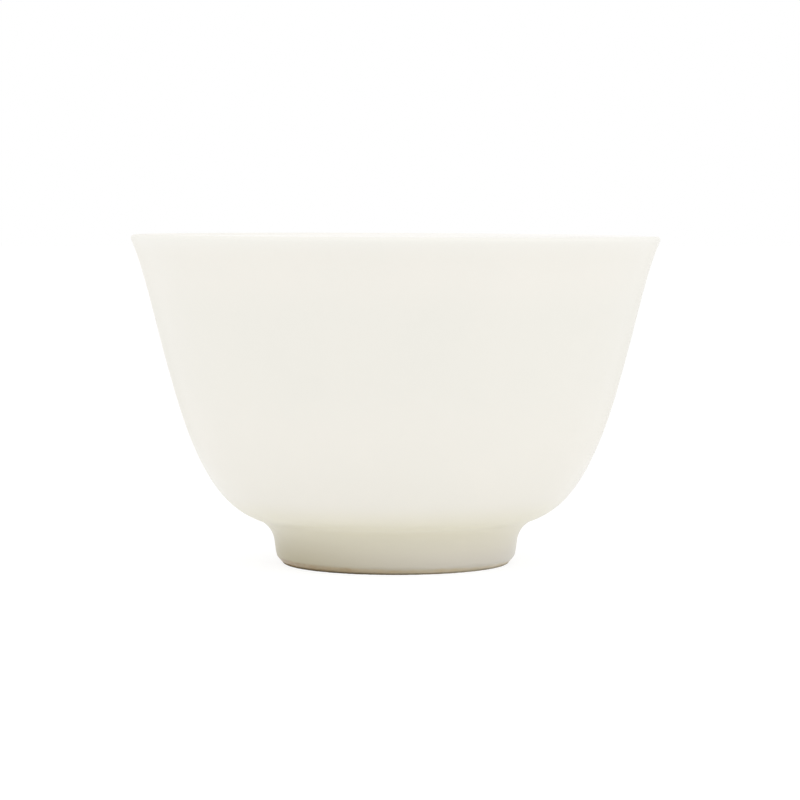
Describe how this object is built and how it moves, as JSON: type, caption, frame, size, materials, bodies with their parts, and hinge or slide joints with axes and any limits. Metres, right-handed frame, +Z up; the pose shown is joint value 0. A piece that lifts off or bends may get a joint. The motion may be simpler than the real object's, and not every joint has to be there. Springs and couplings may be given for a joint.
{
  "type": "handleless tea cup",
  "caption": "Small handleless porcelain tea cup with a gently flared lip, a rounded belly and a glazed foot ring with a bare resting edge.",
  "frame": {"origin": "centre of the foot, on the surface that the cup stands on", "axes": "+Z up along the cup's axis; the cup is turned about Z, so X and Y are alike"},
  "size_m": [0.08, 0.08, 0.0499],
  "materials": {
    "porcelain_body": "matte",
    "bare_foot": "matte",
    "luting_slip": "matte",
    "outer_glaze": "gloss",
    "inner_glaze": "gloss",
    "base_glaze": "gloss"
  },
  "bodies": {
    "root": {"bowl": "porcelain_body", "foot_ring": "bare_foot", "luting_slip": "luting_slip", "outer_glaze": "outer_glaze", "inner_glaze": "inner_glaze", "base_glaze": "base_glaze"}
  },
  "joints": []
}
